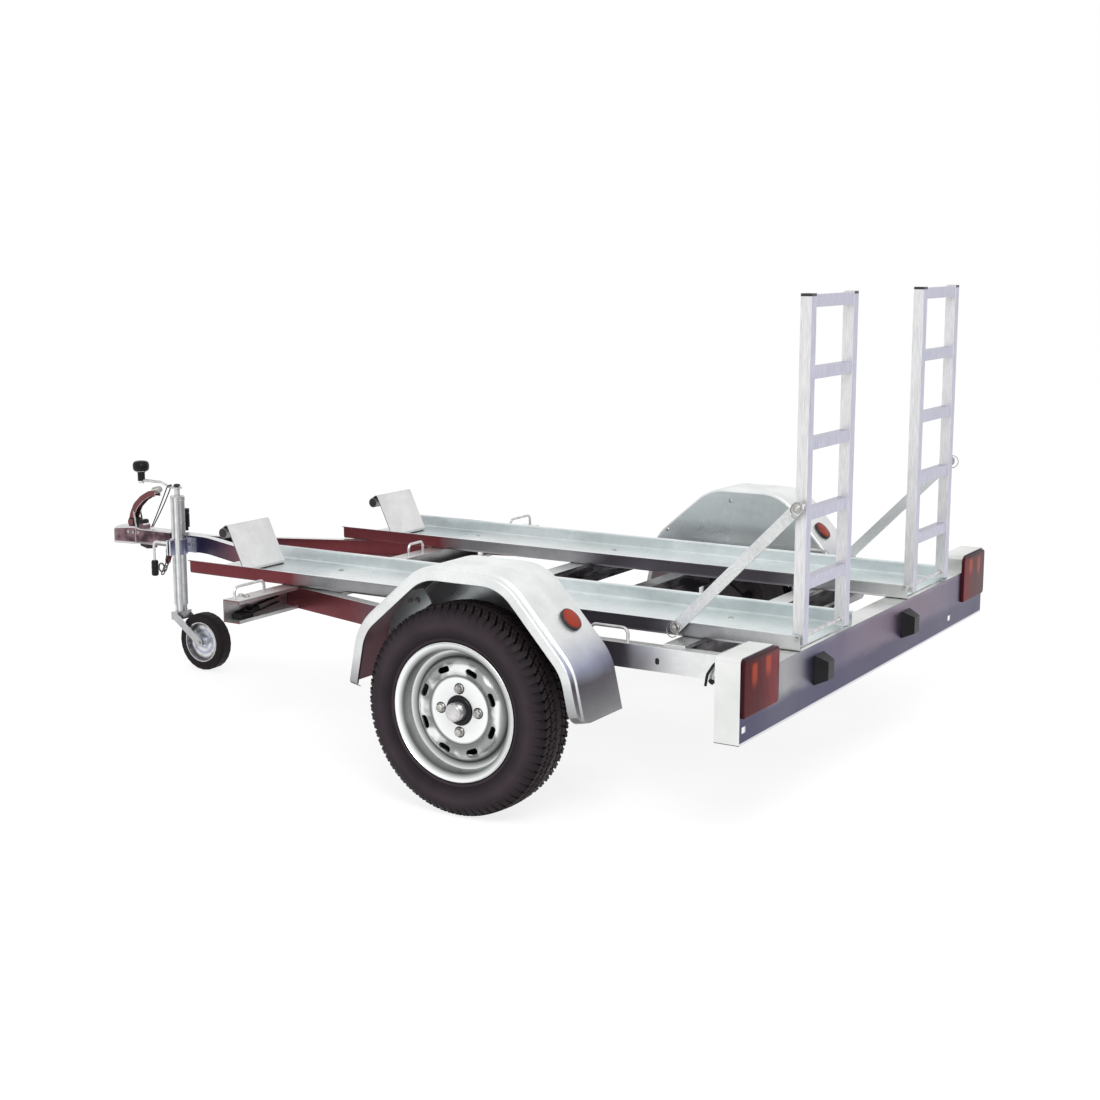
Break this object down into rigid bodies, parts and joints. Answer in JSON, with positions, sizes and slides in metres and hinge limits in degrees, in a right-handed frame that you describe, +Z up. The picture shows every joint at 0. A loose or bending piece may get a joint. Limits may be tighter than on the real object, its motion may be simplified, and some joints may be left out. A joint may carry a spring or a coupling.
{
  "type": "quad bike trailer",
  "caption": "Galvanised twin-track trailer for a quad bike, with upright ladder ramps, mudguards, a rear light bar and a jockey wheel beside its drawbar.",
  "frame": {"origin": "centre of the footprint's bounding box, at floor level", "axes": "+X forward to the coupling, +Y to the left, +Z up"},
  "size_m": [2.9463, 1.915, 1.343],
  "materials": {
    "galvanised": "hot-dip galvanised, grey with a faint spangle",
    "zinc": "bright zinc plate",
    "dark_steel": "dull forged steel",
    "hub": "grey paint",
    "coupling": "dull plated steel",
    "ramp": "mill finish, brushed along",
    "mudguard": "pale galvanised sheet",
    "wheel": "silver paint",
    "tyre": "matt black rubber",
    "black_plastic": "moulded, slightly glossy",
    "red_lens": "clear moulded lens",
    "amber": "moulded prismatic reflector"
  },
  "bodies": {
    "root": {"side_rail_left": "galvanised", "side_rail_right": "galvanised", "rear_cross_member": "galvanised", "middle_cross_member": "galvanised", "front_cross_member": "galvanised", "front_outrigger_left": "galvanised", "front_outrigger_right": "galvanised", "drawbar_arm_left": "galvanised", "drawbar_arm_right": "galvanised", "drawbar_tube": "galvanised", "rear_light_bar": "galvanised", "tail_lens_left": "red_lens", "tail_lens_right": "red_lens", "tail_lamp_body_left": "black_plastic", "tail_lamp_body_right": "black_plastic", "plate_lamp_outer": "black_plastic", "plate_lamp_inner": "black_plastic", "track_left": "galvanised", "track_right": "galvanised", "wheel_stop_left": "galvanised", "wheel_stop_right": "galvanised", "ramp_pivot_left": "zinc", "ramp_pivot_right": "zinc", "axle_beam": "galvanised", "trailing_arm_left": "dark_steel", "trailing_arm_right": "dark_steel", "mudguard_left": "mudguard", "mudguard_right": "mudguard", "mudguard_bracket_left": "galvanised", "mudguard_bracket_right": "galvanised", "side_reflector_left": "amber", "side_reflector_right": "amber", "tie_loop_front_left": "zinc", "tie_loop_front_right": "zinc", "tie_loop_front_centre": "zinc", "tie_loop_rear_left": "zinc", "tie_loop_rear_right": "zinc", "coupling": "coupling", "coupling_lever": "coupling", "jockey_clamp": "zinc", "jockey_outer_tube": "zinc", "jockey_crank": "zinc"},
    "wheel_left": {"hub_left": "hub", "rim_left": "wheel", "tyre_left": "tyre"},
    "wheel_right": {"hub_right": "hub", "rim_right": "wheel", "tyre_right": "tyre"},
    "ramp_left": {"ramp_left": "ramp"},
    "ramp_right": {"ramp_right": "ramp"},
    "brace_left": {"brace_left": "galvanised"},
    "brace_right": {"brace_right": "galvanised"},
    "jockey_leg": {"jockey_inner_tube": "zinc"},
    "jockey_caster": {"jockey_fork": "zinc"},
    "jockey_wheel": {"jockey_rim": "zinc", "jockey_tyre": "tyre"}
  },
  "joints": [
    {"name": "wheel_left_spin", "type": "hinge", "parent": "root", "child": "wheel_left", "pos_m": [-0.65685, 0.8825, 0.279], "axis": [0, 1, 0], "continuous": true},
    {"name": "wheel_right_spin", "type": "hinge", "parent": "root", "child": "wheel_right", "pos_m": [-0.65685, -0.8825, 0.279], "axis": [0, 1, 0], "continuous": true},
    {"name": "ramp_left_lower", "type": "hinge", "parent": "root", "child": "ramp_left", "pos_m": [-1.42985, 0.396, 0.487], "axis": [0, -1, 0], "range_deg": [0, 123]},
    {"name": "ramp_right_lower", "type": "hinge", "parent": "root", "child": "ramp_right", "pos_m": [-1.42985, -0.396, 0.487], "axis": [0, -1, 0], "range_deg": [0, 123]},
    {"name": "brace_left_fold", "type": "hinge", "parent": "root", "child": "brace_left", "pos_m": [-1.09785, 0.57, 0.482], "axis": [0, 1, 0], "range_deg": [0, 134]},
    {"name": "brace_right_fold", "type": "hinge", "parent": "root", "child": "brace_right", "pos_m": [-1.09785, -0.57, 0.482], "axis": [0, 1, 0], "range_deg": [0, 134]},
    {"name": "jockey_height", "type": "slide", "parent": "root", "child": "jockey_leg", "axis": [0, 0, 1], "range_m": [-0.2, 0.018]},
    {"name": "jockey_swivel", "type": "hinge", "parent": "jockey_leg", "child": "jockey_caster", "pos_m": [1.10315, 0.075, 0.18], "axis": [0, 0, 1], "continuous": true},
    {"name": "jockey_roll", "type": "hinge", "parent": "jockey_caster", "child": "jockey_wheel", "pos_m": [0.99315, 0.075, 0.1], "axis": [0, 1, 0], "continuous": true}
  ]
}
